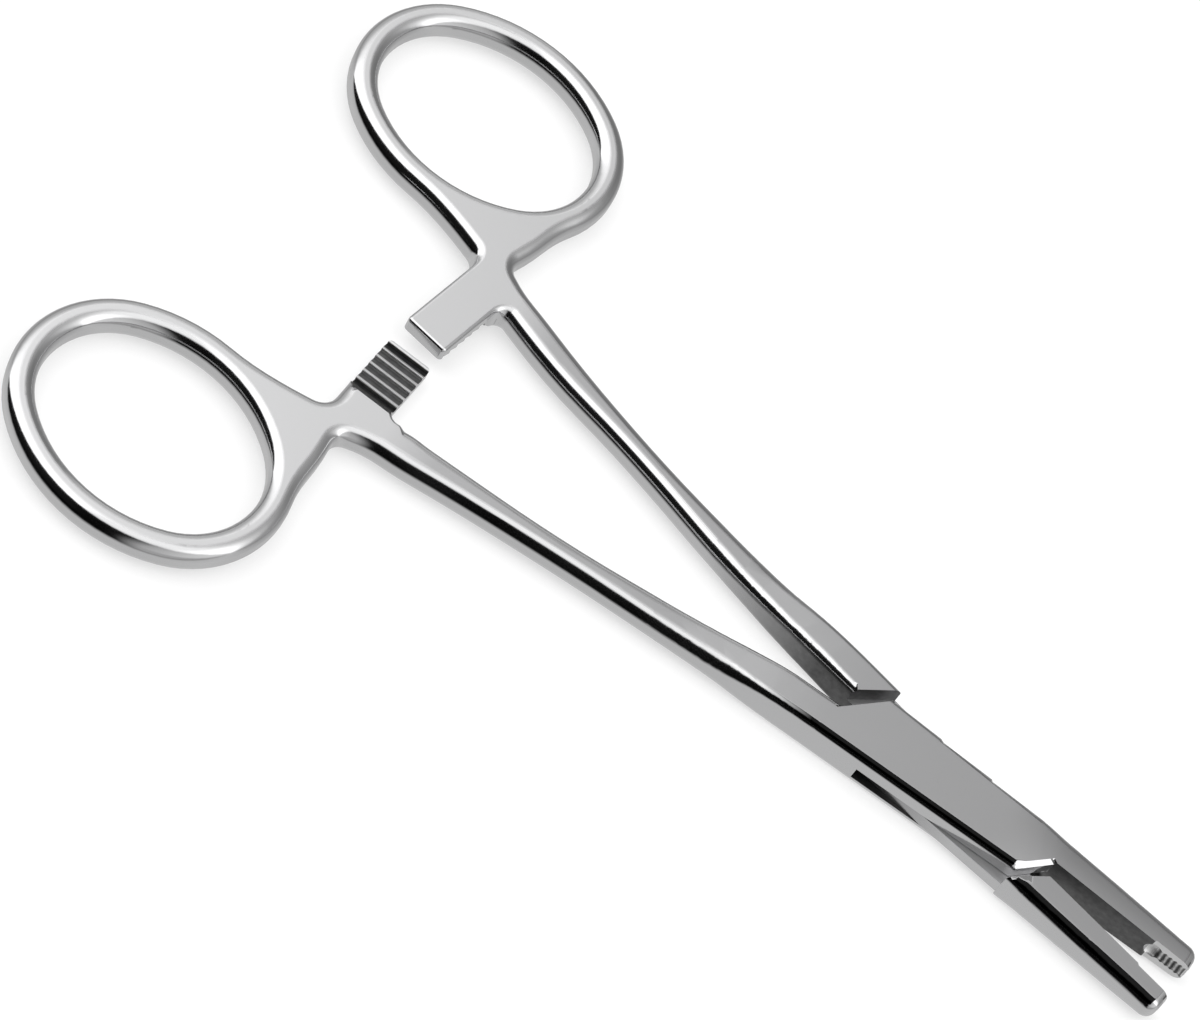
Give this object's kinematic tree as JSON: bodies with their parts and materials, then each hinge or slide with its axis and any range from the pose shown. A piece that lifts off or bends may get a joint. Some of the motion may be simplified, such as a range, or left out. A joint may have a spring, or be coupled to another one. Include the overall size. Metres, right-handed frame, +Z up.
{
  "type": "piercing ball pliers",
  "caption": "Scissor-like ball closing pliers with finger rings, toothed ratchet bars, a box lock on a pivot pin and short jaws with serrated, cupped tips.",
  "frame": {"origin": "middle of the length and width, on the underside of the box lock", "axes": "+X to the jaw tips, +Y to the side of the male half's finger ring, +Z up along the pivot pin; lying flat, slightly open"},
  "size_m": [0.1274, 0.0834, 0.0046],
  "materials": {
    "polished_steel": "mirror polished stainless steel"
  },
  "bodies": {
    "box_side": {"box_half": "polished_steel", "pivot_pin": "polished_steel"},
    "male_side": {"male_half": "polished_steel"}
  },
  "joints": [
    {"name": "box_lock_hinge", "type": "hinge", "parent": "box_side", "child": "male_side", "pos_m": [0.03383, 0, 0.0023], "axis": [0, 0, -1], "range_deg": [-7.4, 50]}
  ]
}
